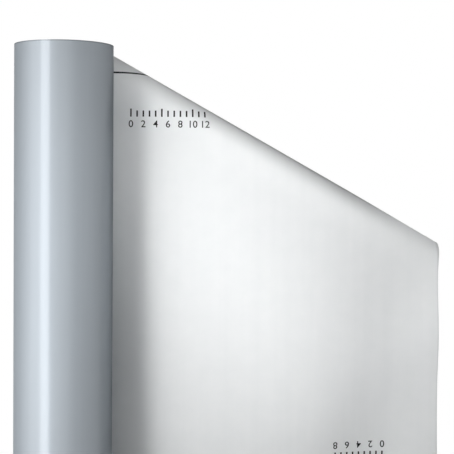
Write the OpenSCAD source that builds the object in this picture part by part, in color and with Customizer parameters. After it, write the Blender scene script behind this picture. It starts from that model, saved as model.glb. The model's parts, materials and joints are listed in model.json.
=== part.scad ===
// Roll of vapour control film standing on its end, with its loose end drawn off
// and the free top corner of the loose end turned over to the back.
// +Z runs up the roll's axis, +X along the loose end, and +Y towards its back.

/* [Film] */
// Width of the film, which is the height of the standing roll
web_width = 1500; // [1000:10:3000]
// Thickness of the film
film_t = 0.25; // [0.15:0.01:0.5]
// Length of film wound on the core, in metres
wound_length = 50; // [5:1:100]

/* [Core tube] */
// Bore of the cardboard core tube
core_bore = 76; // [50:1:120]
// Wall of the core tube
core_wall = 5; // [2:0.5:12]

/* [Ends of the roll] */
// Width of a band of turns that wandered together while winding
band_w = 4.2; // [2:0.1:12]
// Deepest set-back of a band from the end of the roll
band_setback = 0.8; // [0:0.1:3]

/* [Loose end] */
// Length drawn off, from the line where the film leaves the roll to its free edge
leaf_length = 610; // [420:5:900]
// Distance from that same line to where the top edge starts to bend to the back
fold_start = 8; // [1:1:60]
// Slope of the fold below the top edge
fold_slope = 29.3; // [22:0.1:38]
// How far the corner is turned over: 180 lays it parallel to the leaf
fold_turn = 182; // [170:1:186]
// Radius of the tight bend along the crest of the fold
crest_r = 8; // [4:0.5:16]
// Radius of the soft bend on each side of the crest
soft_r = 37; // [20:1:60]
// Turn that each soft bend takes
soft_turn = 42; // [20:1:60]
// Part of the last turn that still lies against the roll
hug_angle = 60; // [10:5:90]

/* [Hidden] */
$fn = 96;
metre = 1000;

core_r = core_bore / 2;
core_outer_r = core_r + core_wall;
// The wound film fills a ring as large as its own edge: its length times its thickness
roll_r = sqrt(core_outer_r ^ 2 + wound_length * metre * film_t / PI);

// ---- Wound film ----
// The turns wander a little while winding, so bands of them end at uneven heights
bands = max(3, round((roll_r - core_outer_r) / band_w));
band_step = (roll_r - core_outer_r) / bands;
// The first and the last band reach the full width of the film, the rest lie a few
// quarters of the deepest set-back below it, in an uneven but repeatable order
quarters = 4;
function at_full_width(i) = i == 0 || i == bands - 1;
function wander(i) = (7 * i + 3 * (i % 3)) % (quarters + 1);
function setback(i) = at_full_width(i) ? 0 : band_setback * wander(i) / quarters;

// One end of the roll from the core outwards, as radius and set-back
end_steps = [
    for (i = [0 : bands - 1])
        for (side = [0, 1])
            [core_outer_r + (i + side) * band_step, setback(i)]
];

module wound_roll() {
    color("lightsteelblue")
        rotate_extrude()
            polygon(concat(
                end_steps,
                [for (i = [len(end_steps) - 1 : -1 : 0]) [end_steps[i][0], web_width - end_steps[i][1]]]
            ));
}

// ---- Core tube ----
bore_margin = 1;
module core_tube() {
    color("burlywood")
        difference() {
            cylinder(r = core_outer_r, h = web_width);
            translate([0, 0, -bore_margin])
                cylinder(r = core_r, h = web_width + 2 * bore_margin);
        }
}

// ---- Loose end ----
// The leaf is tangent to the roll, with its front face towards -Y. Its corner is turned
// over along straight lines that run side by side down the slope, and the film between
// two of them stays flat and as wide as it was, so no film is stretched.
leaf_front = roll_r;
leaf_back = roll_r + film_t;
radian = 180 / PI;

// The bend in section: a soft arc, the tight crest, and a soft arc again, each in flats
soft_flats = 9;
crest_flats = 16;
flats = 2 * soft_flats + crest_flats;
crest_turn = fold_turn - 2 * soft_turn;
function in_crest(i) = i >= soft_flats && i < soft_flats + crest_flats;
function flat_turn(i) = in_crest(i) ? crest_turn / crest_flats : soft_turn / soft_flats;
function flat_width(i) = (in_crest(i) ? crest_r : soft_r) * flat_turn(i) / radian;

// Direction of flat i in section: half its own turn past all of those before it
function turned_before(i) = i == 0 ? 0 : turned_before(i - 1) + flat_turn(i - 1);
function heading(i) = i < 0 ? 0 : i == flats ? fold_turn : turned_before(i) + flat_turn(i) / 2;

// Line i lies between flats i - 1 and i. Its distance past the first line: along the
// film, then square to the slope and to the back once the film is folded
function along_film(i) = i == 0 ? 0 : along_film(i - 1) + flat_width(i - 1);
function risen(i) = i == 0 ? 0 : risen(i - 1) + flat_width(i - 1) * cos(heading(i - 1));
function sunk(i) = i == 0 ? 0 : sunk(i - 1) + flat_width(i - 1) * sin(heading(i - 1));

// Point of the folded film from its distances down the slope, square to it and to the back
function on_slope(down, rise, back) = [
    fold_start + down * cos(fold_slope) + rise * sin(fold_slope),
    leaf_back + back,
    web_width - down * sin(fold_slope) + rise * cos(fold_slope)
];

// Points on line i, on the back for t = 0 and on the front for the film's thickness
function on_line(i, down, t) =
    let (half_turn = (heading(i) - heading(i - 1)) / 2)
    let (middle = heading(i) - half_turn)
    let (out = t / cos(half_turn))
    on_slope(down, risen(i) + out * sin(middle), sunk(i) - out * cos(middle));

// The top edge and the free edge as they cross the lines, and the turned-over corner
reach = leaf_length - fold_start;
function top_edge(i, t) = on_line(i, along_film(i) / tan(fold_slope), t);
function free_edge(i, t) = on_line(i, reach / cos(fold_slope) - along_film(i) * tan(fold_slope), t);
function corner(t) =
    let (past = reach * sin(fold_slope) - along_film(flats))
    on_slope(
        reach * cos(fold_slope),
        risen(flats) + past * cos(fold_turn) + t * sin(fold_turn),
        sunk(flats) + past * sin(fold_turn) - t * cos(fold_turn)
    );

// Flats of the last turn touch the true circle of the roll at their middles
hug_flats = 12;
hug_step = hug_angle / hug_flats;
function hug_corner(i, r) = let (a = 90 + (i + 0.5) * hug_step) [cos(a), sin(a)] * r / cos(hug_step / 2);
function hug_line(t, z) = [
    for (i = [hug_flats - 1 : -1 : 0])
        let (p = hug_corner(i, leaf_back - t))
        [p.x, p.y, z]
];

// One face of the film as an outline, clockwise as its front is seen: the top of the hug,
// the top edge over the fold, the corner, the free edge back over the fold, and the foot
function reversed(list) = [for (i = [len(list) - 1 : -1 : 0]) list[i]];
function face_points(t) = concat(
    hug_line(t, web_width),
    [for (i = [0 : flats]) top_edge(i, t)],
    [corner(t)],
    [for (i = [flats : -1 : 0]) free_edge(i, t)],
    [[leaf_length, leaf_back - t, 0]],
    reversed(hug_line(t, 0))
);
count = 2 * hug_flats + 2 * (flats + 1) + 2;

// Places in that outline
function hug_top(i) = i;
function hug_foot(i) = count - 1 - i;
function top_at(i) = hug_flats + i;
function edge_at(i) = hug_flats + 2 * flats + 2 - i;
corner_at = hug_flats + flats + 1;
low_corner_at = edge_at(0) + 1;

film_faces = concat(
    [for (i = [0 : hug_flats - 2]) [hug_foot(i), hug_top(i), hug_top(i + 1), hug_foot(i + 1)]],
    [[hug_foot(hug_flats - 1), hug_top(hug_flats - 1), top_at(0), edge_at(0), low_corner_at]],
    [for (i = [0 : flats - 1]) [top_at(i), top_at(i + 1), edge_at(i + 1), edge_at(i)]],
    [[top_at(flats), corner_at, edge_at(flats)]]
);

module loose_end() {
    color("gainsboro")
        polyhedron(
            points = concat(face_points(0), face_points(film_t)),
            faces = concat(
                [for (face = film_faces) [for (i = face) count + i]],
                [for (face = film_faces) reversed(face)],
                [for (i = [0 : count - 1])
                    let (next = (i + 1) % count)
                    [count + next, count + i, i, next]]
            )
        );
}

wound_roll();
core_tube();
loose_end();
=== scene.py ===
"""A roll of vapour control film that stands on its end, with its loose end drawn off
to the side and the free top corner of the loose end turned over to the back."""
import json
import math
import random

import bpy
from mathutils import Matrix, Vector, noise

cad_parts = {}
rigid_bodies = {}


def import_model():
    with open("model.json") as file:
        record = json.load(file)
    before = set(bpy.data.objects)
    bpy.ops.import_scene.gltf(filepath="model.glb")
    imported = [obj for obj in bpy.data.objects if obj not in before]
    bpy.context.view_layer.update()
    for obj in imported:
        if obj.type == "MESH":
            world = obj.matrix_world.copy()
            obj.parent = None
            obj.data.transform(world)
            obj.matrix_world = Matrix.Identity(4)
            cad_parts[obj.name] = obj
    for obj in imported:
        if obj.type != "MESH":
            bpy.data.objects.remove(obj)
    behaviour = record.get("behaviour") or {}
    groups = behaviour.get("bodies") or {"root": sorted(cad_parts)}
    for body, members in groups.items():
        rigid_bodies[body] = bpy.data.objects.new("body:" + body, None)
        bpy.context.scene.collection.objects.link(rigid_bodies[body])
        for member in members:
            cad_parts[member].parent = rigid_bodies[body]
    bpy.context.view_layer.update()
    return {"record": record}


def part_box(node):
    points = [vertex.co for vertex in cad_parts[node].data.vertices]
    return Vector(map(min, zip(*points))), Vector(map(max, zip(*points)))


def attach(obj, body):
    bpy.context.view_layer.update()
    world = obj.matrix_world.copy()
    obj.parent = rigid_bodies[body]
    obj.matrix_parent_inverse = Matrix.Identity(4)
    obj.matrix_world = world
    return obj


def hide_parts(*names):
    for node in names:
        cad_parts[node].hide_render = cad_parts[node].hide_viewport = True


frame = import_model()
random.seed(7)

MM = 0.001

# ---- Sizes, from the frame and from the part's own driving values ----
roll_low, roll_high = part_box("wound_roll")
_, leaf_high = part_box("loose_end")
bore_dims = {m["name"]: m for m in frame["record"]["mounts"]}["core_bore"]["dims"]

web_width = bore_dims["length_mm"] * MM
film_t = 0.25 * MM
roll_r = (roll_high.x - roll_low.x) / 2
core_r = bore_dims["r_mm"] * MM
core_wall = 5 * MM
core_outer_r = core_r + core_wall
leaf_length = leaf_high.x

fold_start = 8 * MM
fold_slope = math.radians(29.3)
fold_turn = math.radians(182)
crest_r, soft_r = 8 * MM, 37 * MM
soft_turn = math.radians(42)
crest_turn = fold_turn - 2 * soft_turn
fold_arcs = ((soft_r, soft_turn), (crest_r, crest_turn), (soft_r, soft_turn))
bend_width = sum(radius * turn for radius, turn in fold_arcs)

# A little more than one full turn, so that its inner end lies under its start.
last_turn = 1.03 * 2 * math.pi * roll_r
overlap_line_below_edge = 33 * MM


# ---- The film in space ----
# The flat film is measured along its length from the line where it leaves the roll
# (negative on the roll) and up its width from the floor.

def wound_place(along, up):
    """Back of the film and its front's direction where it still lies on the roll."""
    turn = -along / roll_r
    radius = roll_r + film_t * (1 - turn / (2 * math.pi))
    outward = Vector((-math.sin(turn), math.cos(turn), 0))
    return outward * radius + Vector((0, 0, up)), -outward


def bend_section(past):
    """Rise, depth and heading of the film at a distance past the fold's first line:
    a soft arc, the tight crest, a soft arc again, and straight on."""
    rise = depth = heading = 0.0
    for radius, turn in fold_arcs:
        step = min(past, radius * turn)
        ahead = heading + step / radius
        rise += radius * (math.sin(ahead) - math.sin(heading))
        depth += radius * (math.cos(heading) - math.cos(ahead))
        heading = ahead
        past -= step
    return rise + past * math.cos(heading), depth + past * math.sin(heading), heading


def smooth_step(value):
    value = min(1, max(0, value))
    return value * value * (3 - 2 * value)


def bell(distance, width):
    """Height of a rounded rise, 1 in its middle, at this distance from the middle."""
    return math.exp(-(distance / width) ** 2)


def from_wave_middle(along, up, middle, slope):
    """Distances from a sloping wave's middle: square to its long direction, and along it."""
    over, above = along - middle[0], up - middle[1]
    across = over * math.sin(slope) - above * math.cos(slope)
    lengthwise = over * math.cos(slope) + above * math.sin(slope)
    return across, lengthwise


def forward(along, up, past):
    """How far the drawn-off film stands forward of a flat plane: a broad upright ridge, a valley
    that runs down from the fold's corner, a bulge beside the free edge, small unevenness, and a
    swell along the fold. The waves are lower at the fold, and everything fades at the roll."""
    ridge_at, ridge_width, ridge_height = 0.407, 0.25, 17.3 * MM
    valley_middle, valley_slope = (0.51, 0.845), 1.29
    valley_width, valley_depth = 0.087, 20 * MM
    bulge_middle, bulge_slope = (0.612, 1.05), math.pi / 2 - 1.034
    bulge_width, bulge_length, bulge_height = 0.064, 0.101, 16 * MM
    uneven_along, uneven_up, uneven_height = 9, 5, 1.5 * MM
    share_at_fold, fold_reach = 0.57, 0.159
    swell_width, swell_height = 0.032, 1.15 * MM
    roll_reach = 0.14

    ridge = ridge_height * bell(along - ridge_at, ridge_width)
    off_valley, _ = from_wave_middle(along, up, valley_middle, valley_slope)
    valley = valley_depth * bell(off_valley, valley_width)
    off_bulge, along_bulge = from_wave_middle(along, up, bulge_middle, bulge_slope)
    bulge = bulge_height * bell(off_bulge, bulge_width) * bell(along_bulge, bulge_length)
    uneven = uneven_height * noise.noise(Vector((along * uneven_along, up * uneven_up, 0)))
    share = share_at_fold + (1 - share_at_fold) * smooth_step(-past / fold_reach)
    swell = swell_height * smooth_step(1 + past / swell_width)
    return ((ridge - valley + bulge + uneven) * share + swell) * smooth_step(along / roll_reach)


def film_place(along, up):
    """Back of the film and its front's direction at any point of the flat film."""
    if along <= 0:
        return wound_place(along, up)
    across, raised = along - fold_start, up - web_width
    past = across * math.sin(fold_slope) + raised * math.cos(fold_slope)
    if past <= 0:
        return Vector((along, roll_r + film_t - forward(along, up, past), up)), Vector((0, -1, 0))
    down = across * math.cos(fold_slope) - raised * math.sin(fold_slope)
    rise, depth, heading = bend_section(past)
    down_slope = Vector((math.cos(fold_slope), 0, -math.sin(fold_slope)))
    square_to_slope = Vector((math.sin(fold_slope), 0, math.cos(fold_slope)))
    foot = Vector((fold_start, roll_r + film_t, web_width)) + down_slope * down
    foot.y -= forward(foot.x, foot.z, 0)
    place = foot + square_to_slope * rise + Vector((0, depth, 0))
    return place, square_to_slope * math.sin(heading) - Vector((0, math.cos(heading), 0))


def free_edge(up):
    """Distance of the hand-cut free edge, which wanders out a little where the fold crosses it."""
    wander, wander_height, wander_below_crest = 3 * MM, 26 * MM, 4 * MM
    crest_rise = soft_r * math.sin(soft_turn) + crest_r * (1 - math.sin(soft_turn))
    crest_start = fold_start + crest_rise / math.sin(fold_slope)
    crest_up = web_width - (leaf_length - crest_start) * math.tan(fold_slope)
    return leaf_length + wander * bell(up - crest_up + wander_below_crest, wander_height)


# ---- Building helpers ----

def deselect_all():
    for thing in bpy.context.view_layer.objects:
        thing.select_set(False)


def select_only(piece):
    deselect_all()
    bpy.context.view_layer.objects.active = piece
    piece.select_set(True)


def edit(piece):
    select_only(piece)
    bpy.ops.object.mode_set(mode="EDIT")
    bpy.ops.mesh.select_mode(type="FACE")
    bpy.ops.mesh.select_all(action="DESELECT")


def leave_edit():
    bpy.ops.object.mode_set(mode="OBJECT")


def select_end(piece, end):
    """In edit mode, selects the flat end that faces up (1) or down (-1)."""
    bpy.ops.mesh.select_all(action="DESELECT")
    bpy.ops.object.mode_set(mode="OBJECT")
    for face in piece.data.polygons:
        face.select = face.normal.z * end > 0.9
    bpy.ops.object.mode_set(mode="EDIT")


def select_edges(piece, wanted):
    """In edit mode, selects the edges for which wanted(one end, other end) is true."""
    bpy.ops.mesh.select_mode(type="EDGE")
    bpy.ops.mesh.select_all(action="DESELECT")
    bpy.ops.object.mode_set(mode="OBJECT")
    points = [v.co for v in piece.data.vertices]
    for edge in piece.data.edges:
        edge.select = bool(wanted(points[edge.vertices[0]], points[edge.vertices[1]]))
    bpy.ops.object.mode_set(mode="EDIT")


def off_axis(point):
    return math.hypot(point.x, point.y)


def bridge_bore(piece, radius):
    """Joins the two open loops of edges that lie within this radius by a wall."""
    select_edges(piece, lambda a, b: max(off_axis(a), off_axis(b)) < radius)
    bpy.ops.mesh.bridge_edge_loops()


def settle_in_place(piece):
    """Moves the object's place and turn into its mesh."""
    select_only(piece)
    bpy.ops.object.transform_apply(location=True, rotation=True, scale=True)


def start_cylinder(name, radius, vertices):
    """A plain cylinder as high as the film is wide, open for editing."""
    deselect_all()
    bpy.ops.mesh.primitive_cylinder_add(
        vertices=vertices, radius=radius, depth=web_width, location=(0, 0, web_width / 2)
    )
    cylinder = bpy.context.object
    cylinder.name = name
    settle_in_place(cylinder)
    edit(cylinder)
    return cylinder


def apply_modifiers(piece):
    select_only(piece)
    for modifier in list(piece.modifiers):
        bpy.ops.object.modifier_apply(modifier=modifier.name)


def shade_smooth(piece):
    """Smooth where faces meet at less than 35 degrees, sharp elsewhere."""
    select_only(piece)
    bpy.ops.object.shade_smooth_by_angle(angle=math.radians(35))


def finish_with(piece, *materials):
    piece.data.materials.clear()
    for material in materials:
        piece.data.materials.append(material)


# ---- Materials ----

class Graph:
    """Short ways to add the nodes that the finishes share."""

    def __init__(self, tree):
        self.nodes, self.links = tree.nodes, tree.links

    def put(self, socket, value):
        if hasattr(value, "is_output"):
            self.links.new(value, socket)
        else:
            socket.default_value = value

    def math(self, operation, *values):
        node = self.nodes.new("ShaderNodeMath")
        node.operation = operation
        for socket, value in zip(node.inputs, values):
            self.put(socket, value)
        return node.outputs[0]

    def mapped(self, point, scale):
        mapping = self.nodes.new("ShaderNodeMapping")
        mapping.inputs["Scale"].default_value = scale
        self.links.new(point, mapping.inputs["Vector"])
        return mapping.outputs["Vector"]

    def object_point(self, scale=(1, 1, 1)):
        return self.mapped(self.nodes.new("ShaderNodeTexCoord").outputs["Object"], scale)

    def film_point(self, scale=(1, 1, 1)):
        flat = self.nodes.new("ShaderNodeUVMap")
        flat.uv_map = "flat_film"
        return self.mapped(flat.outputs["UV"], scale)

    def parts(self, vector):
        split = self.nodes.new("ShaderNodeSeparateXYZ")
        self.links.new(vector, split.inputs[0])
        return split.outputs

    def join(self, x=0.0, y=0.0, z=0.0):
        join = self.nodes.new("ShaderNodeCombineXYZ")
        for socket, value in zip(join.inputs, (x, y, z)):
            self.put(socket, value)
        return join.outputs[0]

    def off_axis(self, x, y):
        """Distance from the upright axis."""
        squares = self.math("ADD", self.math("MULTIPLY", x, x), self.math("MULTIPLY", y, y))
        return self.math("SQRT", squares)

    def away_from(self, value, middle):
        return self.math("ABSOLUTE", self.math("SUBTRACT", value, middle))

    def weigh(self, first, share, second):
        """A sum of two patterns, with this share of the first."""
        rest = self.math("MULTIPLY", second, 1 - share)
        return self.math("ADD", self.math("MULTIPLY", first, share), rest)

    def noise(self, vector, scale, detail=3.0, roughness=0.55):
        node = self.nodes.new("ShaderNodeTexNoise")
        self.put(node.inputs["Vector"], vector)
        node.inputs["Scale"].default_value = scale
        node.inputs["Detail"].default_value = detail
        node.inputs["Roughness"].default_value = roughness
        return node.outputs["Fac"]

    def span(self, value, low, high, to_low, to_high, smooth=False):
        node = self.nodes.new("ShaderNodeMapRange")
        node.interpolation_type = "SMOOTHSTEP" if smooth else "LINEAR"
        self.put(node.inputs["Value"], value)
        node.inputs["From Min"].default_value = low
        node.inputs["From Max"].default_value = high
        node.inputs["To Min"].default_value = to_low
        node.inputs["To Max"].default_value = to_high
        return node.outputs["Result"]

    def mix(self, share, first, second):
        node = self.nodes.new("ShaderNodeMix")
        node.data_type = "RGBA"
        self.put(node.inputs[0], share)
        self.put(node.inputs[6], first)
        self.put(node.inputs[7], second)
        return node.outputs[2]

    def bump(self, shader, height, distance):
        node = self.nodes.new("ShaderNodeBump")
        node.inputs["Strength"].default_value = 1.0
        node.inputs["Distance"].default_value = distance
        self.put(node.inputs["Height"], height)
        self.links.new(node.outputs["Normal"], shader.inputs["Normal"])


def new_material(name):
    material = bpy.data.materials.new(name)
    material.use_nodes = True
    return material, Graph(material.node_tree), material.node_tree.nodes["Principled BSDF"]


fresh_ink = (0.004, 0.004, 0.005, 1)


def film_outer_material():
    """Glossy pale blue-grey side of the film, with the faint streaks that its extrusion leaves."""
    material, g, shader = new_material("film_outer")
    deep_grey, light_grey = (0.348, 0.386, 0.424, 1), (0.372, 0.411, 0.450, 1)
    rim_shade_grey = (0.10, 0.12, 0.13, 1)
    streaks = g.noise(g.object_point((1, 1, 0.02)), scale=90, detail=4)
    clouds = g.noise(g.object_point((1, 1, 0.35)), scale=7, detail=2)
    share = g.span(g.weigh(streaks, 0.5, clouds), 0.3, 0.7, 0, 1)
    clean = g.mix(share, deep_grey, light_grey)
    up = g.parts(g.object_point())[2]
    to_end = g.math("SUBTRACT", web_width / 2, g.away_from(up, web_width / 2))
    # painted shade: the film's face turns darker within about 2 mm of either end of the roll
    painted_rim_shade = g.span(to_end, 1.0 * MM, 2.2 * MM, 0.55, 0, smooth=True)
    g.put(shader.inputs["Base Color"], g.mix(painted_rim_shade, clean, rim_shade_grey))
    g.put(shader.inputs["Roughness"], g.span(streaks, 0.2, 0.8, 0.27, 0.35))
    shader.inputs["Metallic"].default_value = 0.3
    shader.inputs["Specular IOR Level"].default_value = 0.0
    shader.inputs["Specular Tint"].default_value = (0.3, 0.3, 0.3, 1)
    shader.inputs["Coat Weight"].default_value = 0.10
    shader.inputs["Coat IOR"].default_value = 4.0
    shader.inputs["Coat Roughness"].default_value = 0.025
    g.bump(shader, streaks, 0.03 * MM)
    return material


def film_inner_material():
    """Satin white side, with its printed overlap line and painted shade along the free cut edge."""
    material, g, shader = new_material("film_inner")
    deep_white, light_white = (0.832, 0.850, 0.856, 1), (0.862, 0.876, 0.882, 1)
    free_edge_shade_grey = (0.45, 0.47, 0.46, 1)
    along, up = g.parts(g.film_point())[:2]
    mottle = g.noise(g.film_point(), scale=35, detail=4)
    draw_marks = g.noise(g.film_point((1, 0.03, 1)), scale=60)
    marks = g.math("ADD", mottle, draw_marks)
    white = g.mix(g.span(marks, 0.7, 1.3, 0, 1), deep_white, light_white)
    from_line = g.away_from(up, web_width - overlap_line_below_edge)
    ragged = g.noise(g.film_point(), scale=900, detail=2)
    wobble = g.span(ragged, 0.3, 0.7, -0.12 * MM, 0.12 * MM)
    line = g.span(g.math("ADD", from_line, wobble), 1.25 * MM, 1.5 * MM, 1, 0)
    printed = g.mix(line, white, fresh_ink)
    # painted shade: a darker line within about 3 mm of the leaf's free edge
    edge = g.span(g.math("SUBTRACT", leaf_length, along), 0.5 * MM, 2.8 * MM, 0.35, 0, smooth=True)
    g.put(shader.inputs["Base Color"], g.mix(edge, printed, free_edge_shade_grey))
    g.put(shader.inputs["Roughness"], g.span(mottle, 0.25, 0.75, 0.40, 0.52))
    shader.inputs["Specular IOR Level"].default_value = 0.35
    g.bump(shader, marks, 0.05 * MM)
    return material


def turn_edges_material():
    """Ends of the roll, where the cut edges of the turns show as fine rings."""
    material, g, shader = new_material("turn_edges")
    dark_ring, light_ring, dust = (0.36, 0.41, 0.45, 1), (0.66, 0.70, 0.73, 1), (0.42, 0.42, 0.41, 1)
    x, y, z = g.parts(g.object_point())
    radius = g.off_axis(x, y)
    fine = g.noise(g.join(radius, z=g.math("MULTIPLY", z, 0.02)), scale=1500, detail=2, roughness=0.6)
    broad = g.noise(g.join(radius), scale=160, detail=2)
    smudge = g.noise(g.object_point(), scale=24)
    rings = g.mix(g.span(g.weigh(fine, 0.6, broad), 0.35, 0.65, 0, 1), dark_ring, light_ring)
    g.put(shader.inputs["Base Color"], g.mix(g.span(smudge, 0.45, 0.75, 0, 0.25), rings, dust))
    g.put(shader.inputs["Roughness"], g.span(fine, 0.3, 0.7, 0.38, 0.55))
    g.bump(shader, fine, 0.15 * MM)
    return material


def cardboard_material():
    """Spirally wound grey-brown board: fibres, the seams of its strips, and its layers on the ends."""
    material, g, shader = new_material("cardboard")
    dark_board, light_board = (0.35, 0.245, 0.155, 1), (0.50, 0.375, 0.25, 1)
    seam_brown, layer_brown = (0.16, 0.11, 0.07, 1), (0.22, 0.155, 0.10, 1)
    strip_pitch, seam_share, half = 140 * MM, 0.012, web_width / 2
    x, y, z = g.parts(g.object_point())
    around = g.math("DIVIDE", g.math("ARCTAN2", y, x), 2 * math.pi)
    strip = g.math("FRACT", g.math("SUBTRACT", g.math("DIVIDE", z, strip_pitch), around))
    seam = g.span(g.away_from(strip, 0.5), 0.0, seam_share, 1, 0)
    fibres = g.noise(g.object_point((1, 1, 0.4)), scale=420, detail=5, roughness=0.65)
    patches = g.noise(g.object_point(), scale=30)
    layers = g.noise(g.join(g.off_axis(x, y)), scale=2300, detail=1)
    on_end = g.span(g.away_from(z, half), half - 1.2 * MM, half - 0.6 * MM, 0, 1)
    board = g.mix(g.span(g.weigh(fibres, 0.6, patches), 0.35, 0.65, 0, 1), dark_board, light_board)
    seamed = g.mix(g.math("MULTIPLY", seam, 0.7), board, seam_brown)
    layer_share = g.math("MULTIPLY", on_end, g.span(layers, 0.4, 0.6, 0, 0.55))
    g.put(shader.inputs["Base Color"], g.mix(layer_share, seamed, layer_brown))
    g.put(shader.inputs["Roughness"], g.span(fibres, 0.3, 0.7, 0.78, 0.92))
    shader.inputs["Specular IOR Level"].default_value = 0.3
    g.bump(shader, g.math("SUBTRACT", fibres, seam), 0.25 * MM)
    return material


def ink_material():
    """Black printing ink, a little thin in places."""
    material, g, shader = new_material("ink")
    thin_ink = (0.020, 0.020, 0.022, 1)
    thin = g.noise(g.object_point(), scale=900)
    g.put(shader.inputs["Base Color"], g.mix(g.span(thin, 0.35, 0.75, 0, 1), fresh_ink, thin_ink))
    g.put(shader.inputs["Roughness"], g.span(thin, 0.3, 0.7, 0.45, 0.6))
    shader.inputs["Specular IOR Level"].default_value = 0.15
    return material


outer_film = film_outer_material()
inner_film = film_inner_material()
turn_edges = turn_edges_material()
cardboard = cardboard_material()
ink = ink_material()


# ---- The film's leaf and last turn ----

def on_free_edge(slope, past):
    """Where a line with this slope, this far past the fold's first line, leaves the flat film.
    The edge wanders, so the place is closed in on in a few rounds."""
    along = leaf_length
    for _ in range(5):
        up = web_width - (along - fold_start - past / math.sin(fold_slope)) * math.tan(slope)
        along = free_edge(up)
    return along, up


def leaf_lines():
    """Lines that divide the leaf, each as its start and end on the flat film: rays from the
    point where the fold starts, then lines side by side along the fold and the turned-over corner."""
    rays, strips_per_arc, flap_strips = 110, (14, 26, 14), 6
    point = (fold_start, web_width)
    reach = leaf_length - fold_start
    corner = math.atan2(web_width, reach)
    slopes = [math.pi / 2 + (fold_slope - math.pi / 2) * i / rays for i in range(rays + 1)]
    lines = []
    for slope in sorted(slopes + [corner], reverse=True):
        if slope >= corner:
            lines.append((point, (fold_start + web_width / math.tan(slope), 0)))
        else:
            lines.append((point, on_free_edge(slope, 0)))
    strips = []
    for (radius, turn), count in zip(fold_arcs, strips_per_arc):
        strips += [radius * turn / count] * count
    strips += [(reach * math.sin(fold_slope) - bend_width) / flap_strips] * flap_strips
    past = 0
    for width in strips:
        past += width
        start = (fold_start + past / math.sin(fold_slope), web_width)
        end = on_free_edge(fold_slope, past)
        lines.append((start, end if end[0] > start[0] else start))
    return lines


def build_film():
    """The leaf, its turned-over corner and the last turn on the roll: one sheet with its two faces."""
    round_steps, rows = 90, 140
    points, faces, flats = [], [], []

    def add_point(along, up):
        points.append(tuple(film_place(along, up)[0]))
        flats.append((along, up))
        return len(points) - 1

    columns = []
    for along in [-last_turn * (1 - i / round_steps) for i in range(round_steps + 1)] + [fold_start / 2]:
        columns.append([add_point(along, web_width * (1 - j / rows)) for j in range(rows + 1)])
    for start, end in leaf_lines():
        shared = start == (fold_start, web_width) and len(columns) > round_steps + 2
        line = [columns[-1][0]] if shared else []
        for j in range(len(line), rows + 1):
            along = start[0] + (end[0] - start[0]) * j / rows
            up = start[1] + (end[1] - start[1]) * j / rows
            line.append(add_point(along, up))
        columns.append(line)
    for left, right in zip(columns, columns[1:]):
        for j in range(rows):
            corners = list(dict.fromkeys([left[j], left[j + 1], right[j + 1], right[j]]))
            if len(corners) > 2:
                faces.append(corners)

    mesh = bpy.data.meshes.new("film_leaf")
    mesh.from_pydata(points, [], faces)
    film = bpy.data.objects.new("film_leaf", mesh)
    bpy.context.scene.collection.objects.link(film)
    finish_with(film, inner_film, outer_film)
    flat_map = mesh.uv_layers.new(name="flat_film")
    for loop in mesh.loops:
        flat_map.data[loop.index].uv = flats[loop.vertex_index]
    thickness = film.modifiers.new("thickness", "SOLIDIFY")
    thickness.thickness = film_t
    thickness.offset = 1
    thickness.use_even_offset = True
    thickness.material_offset = 1
    thickness.material_offset_rim = 0
    apply_modifiers(film)
    shade_smooth(film)
    return film


# ---- The turns under the last one ----

def band_setback(radius):
    """How far a turn at this radius stands back from the full width of the film."""
    band_width, deepest, levels = 4.2 * MM, 0.8 * MM, 5
    bands = max(3, round((roll_r - core_outer_r) / band_width))
    band = min(bands - 1, int((radius - core_outer_r) / (roll_r - core_outer_r) * bands))
    if band in (0, bands - 1):
        return 0
    level = (7 * band + 3 * (band % 3)) % levels  # an uneven order of the levels
    return deepest * level / (levels - 1)


def build_wound_turns():
    """A solid with its bore, whose ends step in and out from turn to turn. It lies just under
    the last turn and just clear of the core."""
    outer, inner = roll_r - 1.6 * film_t, core_outer_r + 0.05 * MM
    steps, lip = 40, 0.12 * MM
    first_level, uneven_turn = 0.15 * MM, 0.22
    width = (outer - inner) / steps
    turns = start_cylinder("wound_turns", outer, 192)
    for end in (1, -1):
        level = 0
        select_end(turns, end)
        for i in range(steps):
            setback = band_setback(outer - (i + 0.5) * width) + random.uniform(0, uneven_turn) * MM
            next_level = setback if i else first_level
            bpy.ops.mesh.inset(thickness=lip, depth=level - next_level)
            bpy.ops.mesh.inset(thickness=width - lip, depth=0)
            level = next_level
        bpy.ops.mesh.delete(type="FACE")
    bridge_bore(turns, inner + 0.4 * width)
    leave_edit()
    finish_with(turns, turn_edges)
    shade_smooth(turns)
    return turns


# ---- The core ----

def build_core():
    """Cardboard tube with slightly softened edges."""
    core = start_cylinder("cardboard_core", core_outer_r, 160)
    for end in (1, -1):
        select_end(core, end)
        bpy.ops.mesh.inset(thickness=core_wall, depth=0)
        bpy.ops.mesh.delete(type="FACE")
    bridge_bore(core, core_r + core_wall / 2)

    def on_rim(a, b):
        at_end = min(abs(a.z), abs(a.z - web_width)) < 0.01 * MM
        return at_end and abs(a.z - b.z) < 0.01 * MM and abs(off_axis(a) - off_axis(b)) < 0.1 * MM

    select_edges(core, on_rim)
    bpy.ops.mesh.bevel(offset=0.5 * MM, segments=2)
    leave_edit()
    finish_with(core, cardboard)
    shade_smooth(core)
    return core


# ---- Printing on the leaf ----

def lay_on_film(printed):
    """Takes a print drawn flat, its length along the film and its height up it, to the film's front."""
    clear_of_film = 0.1 * MM
    for vertex in printed.data.vertices:
        back, front = film_place(vertex.co.x, vertex.co.z)
        vertex.co = back + front * (film_t + clear_of_film)


def draw_tick(along, middle, height):
    """An upright bar, drawn flat."""
    tick_width = 2.6 * MM
    deselect_all()
    bpy.ops.mesh.primitive_plane_add(size=1, location=(along, 0, middle), rotation=(math.pi / 2, 0, 0))
    tick = bpy.context.object
    tick.scale = (tick_width, height, 1)
    settle_in_place(tick)
    return tick


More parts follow.
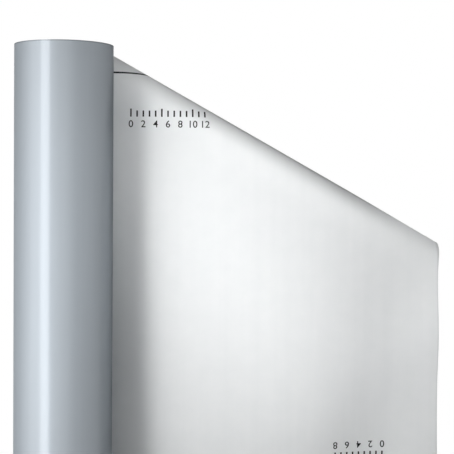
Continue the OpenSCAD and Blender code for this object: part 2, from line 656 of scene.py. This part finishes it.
def draw_number(number, along, baseline, turned):
    """A number centred over its place, drawn flat, or upside down when turned."""
    letter_size, bolder = 16 * MM, 0.12 * MM
    deselect_all()
    bpy.ops.object.text_add(
        location=(along, 0, baseline), rotation=(math.pi / 2, math.pi if turned else 0, 0)
    )
    text = bpy.context.object
    text.data.body = str(number)
    text.data.size = letter_size
    text.data.align_x = "CENTER"
    text.data.offset = bolder
    bpy.ops.object.convert(target="MESH")
    text = bpy.context.object
    settle_in_place(text)
    return text


def build_length_scale(name, zero, baseline, length, turned):
    """Generic measuring scale, this many centimetres long: a tick each centimetre over plain
    numbers, with a taller tick every fifth and a number every second centimetre."""
    centimetre, number_room = 10 * MM, 17 * MM
    short_tick, tall_tick = 10 * MM, 13 * MM
    ink_t = 0.05 * MM
    way = -1 if turned else 1
    parts = []
    for step in range(length + 1):
        along = zero + way * step * centimetre
        height = short_tick if step % 5 else tall_tick
        parts.append(draw_tick(along, baseline + way * (number_room + height / 2), height))
        if step % 2 == 0:
            parts.append(draw_number(step, along, baseline, turned))
    select_only(parts[0])
    for part in parts:
        part.select_set(True)
    bpy.ops.object.join()
    scale = bpy.context.object
    scale.name = name
    edit(scale)
    bpy.ops.mesh.select_all(action="SELECT")
    bpy.ops.mesh.subdivide(number_cuts=5)
    leave_edit()
    lay_on_film(scale)
    skin = scale.modifiers.new("skin", "SOLIDIFY")
    skin.thickness = ink_t
    skin.offset = 0
    apply_modifiers(scale)
    finish_with(scale, ink)
    return scale


film = build_film()
turns = build_wound_turns()
core = build_core()
upper_scale = build_length_scale("length_scale", zero=0.102, baseline=1.379, length=12, turned=False)
lower_scale = build_length_scale("length_scale_turned", zero=0.520, baseline=0.865, length=8,
                                 turned=True)

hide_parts("loose_end")
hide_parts("wound_roll")
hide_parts("core_tube")
for piece in (film, turns, core, upper_scale, lower_scale):
    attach(piece, "root")


# ---- Stage ----

def show_white(g, lit, share=None):
    """A shader that is plain white to the eye and in reflections, and otherwise as lit."""
    path = g.nodes.new("ShaderNodeLightPath")
    seen = path.outputs["Is Camera Ray"]
    for kind in ("Is Glossy Ray", "Is Transmission Ray"):
        seen = g.math("MAXIMUM", seen, path.outputs[kind])
    if share is not None:
        seen = g.math("MULTIPLY", seen, share)
    white = g.nodes.new("ShaderNodeBackground" if lit.node.type == "BACKGROUND" else "ShaderNodeEmission")
    white.inputs["Color"].default_value = (1, 1, 1, 1)
    white.inputs["Strength"].default_value = 1.0
    mix = g.nodes.new("ShaderNodeMixShader")
    g.links.new(seen, mix.inputs["Fac"])
    g.links.new(lit, mix.inputs[1])
    g.links.new(white.outputs[0], mix.inputs[2])
    return mix.outputs[0]


def build_floor():
    """Pale paper floor that fades into the white surroundings."""
    floor_radius, fade_from, fade_to = 2.2, 0.9, 2.1
    shade_grey, light_grey = (0.79, 0.79, 0.785, 1), (0.82, 0.82, 0.815, 1)
    deselect_all()
    bpy.ops.mesh.primitive_circle_add(
        vertices=96, radius=floor_radius, fill_type="NGON", location=(0, 0, 0)
    )
    floor = bpy.context.object
    floor.name = "floor"
    material, g, shader = new_material("floor_paper")
    grain = g.noise(g.object_point(), scale=260)
    g.put(shader.inputs["Base Color"], g.mix(grain, shade_grey, light_grey))
    shader.inputs["Roughness"].default_value = 0.9
    shader.inputs["Specular IOR Level"].default_value = 0.1
    x, y = g.parts(g.object_point())[:2]
    fade = g.span(g.off_axis(x, y), fade_from, fade_to, 0.45, 1, smooth=True)
    g.links.new(show_white(g, shader.outputs[0], fade), g.nodes["Material Output"].inputs["Surface"])
    finish_with(floor, material)


def build_world():
    """Weak even light from all round, in front of plain white."""
    world = bpy.data.worlds.new("studio")
    bpy.context.scene.world = world
    world.use_nodes = True
    g = Graph(world.node_tree)
    g.nodes.clear()
    out = g.nodes.new("ShaderNodeOutputWorld")
    soft = g.nodes.new("ShaderNodeBackground")
    soft.inputs["Color"].default_value = (1, 1, 1, 1)
    soft.inputs["Strength"].default_value = 0.06
    g.links.new(show_white(g, soft.outputs[0]), out.inputs["Surface"])


def hang(name, lamp, place, target):
    """Puts a lamp in its place, aimed at its target."""
    holder = bpy.data.objects.new(name, lamp)
    bpy.context.scene.collection.objects.link(holder)
    holder.location = place
    holder.rotation_mode = "QUATERNION"
    holder.rotation_quaternion = (Vector(target) - Vector(place)).to_track_quat("-Z", "Y")
    return holder


def area_light(name, place, target, width, height, strength):
    """A soft box of a given strength per area, which isn't seen itself."""
    lamp = bpy.data.lights.new(name, "AREA")
    lamp.shape = "RECTANGLE"
    lamp.size, lamp.size_y = width, height
    lamp.energy = strength * math.pi * width * height
    holder = hang(name, lamp, place, target)
    holder.visible_camera = False
    return holder


def leaf_light(name, place, target, opening, watts, size):
    """A soft-edged pool of light on the leaf, with its opening in degrees. The glossy film
    doesn't mirror it."""
    lamp = bpy.data.lights.new(name, "SPOT")
    lamp.energy = watts
    lamp.spot_size = math.radians(opening)
    lamp.spot_blend = 1
    lamp.shadow_soft_size = size
    hang(name, lamp, place, target).visible_glossy = False


lamp_distance = 2.5


def around_roll(degrees):
    """A lamp's place in front of the roll, turned from straight ahead, to the left when negative."""
    turn = math.radians(degrees)
    return lamp_distance * math.sin(turn), -lamp_distance * math.cos(turn), 1.2


def build_soft_wall():
    """Soft boxes side by side in a bow in front of the roll, brightest to the left, with a
    second, flatter rise ahead, and a narrow brighter window between the two."""
    roll_middle = (0.15, 0, 1.15)
    pitch = 14
    width = lamp_distance * math.radians(pitch)
    for degrees in range(-98, 29, pitch):
        left_rise = 1.6 * bell(degrees + 62, 28)
        ahead_rise = 0.58 * math.exp(-((degrees + 7) / 28) ** 4)
        area_light("soft_wall_%d" % degrees, around_roll(degrees), roll_middle,
                   width=width, height=2.0, strength=left_rise + ahead_rise)
    area_light("window", around_roll(-38.4), roll_middle, width=0.92, height=2.2, strength=2.54)


def build_back_lights():
    """A large soft box behind, which the film doesn't mirror, and a narrow one, which it does."""
    back = area_light("back", (0.15, 2.6, 1.5), (0.25, 0, 0.9), width=1.6, height=2.2, strength=5.0)
    back.visible_glossy = False
    area_light("back_strip", (0.15, 2.6, 1.2), (0.15, 0, 1.0), width=0.3, height=2.2, strength=2.5)


def build_leaf_lights():
    """Two pools of light from the left, one from ahead, two on the leaf's upper corner beside the
    roll, and one from above on the fold's crest."""
    leaf_light("key", (-0.816, -2.158, 0.2), (0.33, 0.07, 1.25), opening=16, watts=211, size=0.4)
    leaf_light("side", (-1.116, -2.004, 0.2), (0.3, 0.07, 1.0), opening=18, watts=148, size=0.4)
    leaf_light("front", (0.3, -2.5, 1.5), (0.33, 0.07, 1.02), opening=12, watts=42, size=0.2)
    leaf_light("corner", (0.3, -2.5, 0.5), (0.17, 0.07, 1.36), opening=10, watts=122, size=0.2)
    leaf_light("top_corner", (0.3, -2.5, 1.5), (0.13, 0.07, 1.495), opening=3.6, watts=80, size=0.05)
    leaf_light("crest", (0.68, -0.08, 2.6), (0.575, 0.085, 1.195), opening=8, watts=34, size=0.05)


def build_camera():
    """A long lens at the height of the leaf's upper half, turned a little to the right and down."""
    lens = bpy.data.cameras.new("camera")
    camera = bpy.data.objects.new("camera", lens)
    bpy.context.scene.collection.objects.link(camera)
    bpy.context.scene.camera = camera
    lens.sensor_width = 36
    lens.lens = 95.15418
    yaw, pitch, roll = math.radians(3.32), math.radians(-1.602), math.radians(0.433)
    camera.location = (0.1459, -1.8796, 1.2727)
    ahead = Vector((math.sin(yaw) * math.cos(pitch), math.cos(yaw) * math.cos(pitch), math.sin(pitch)))
    camera.rotation_mode = "QUATERNION"
    upright = ahead.to_track_quat("-Z", "Y")
    camera.rotation_quaternion = upright @ Matrix.Rotation(roll, 3, "Z").to_quaternion()


build_floor()
build_world()
build_soft_wall()
build_back_lights()
build_leaf_lights()
build_camera()
bpy.context.scene.view_settings.view_transform = "Standard"
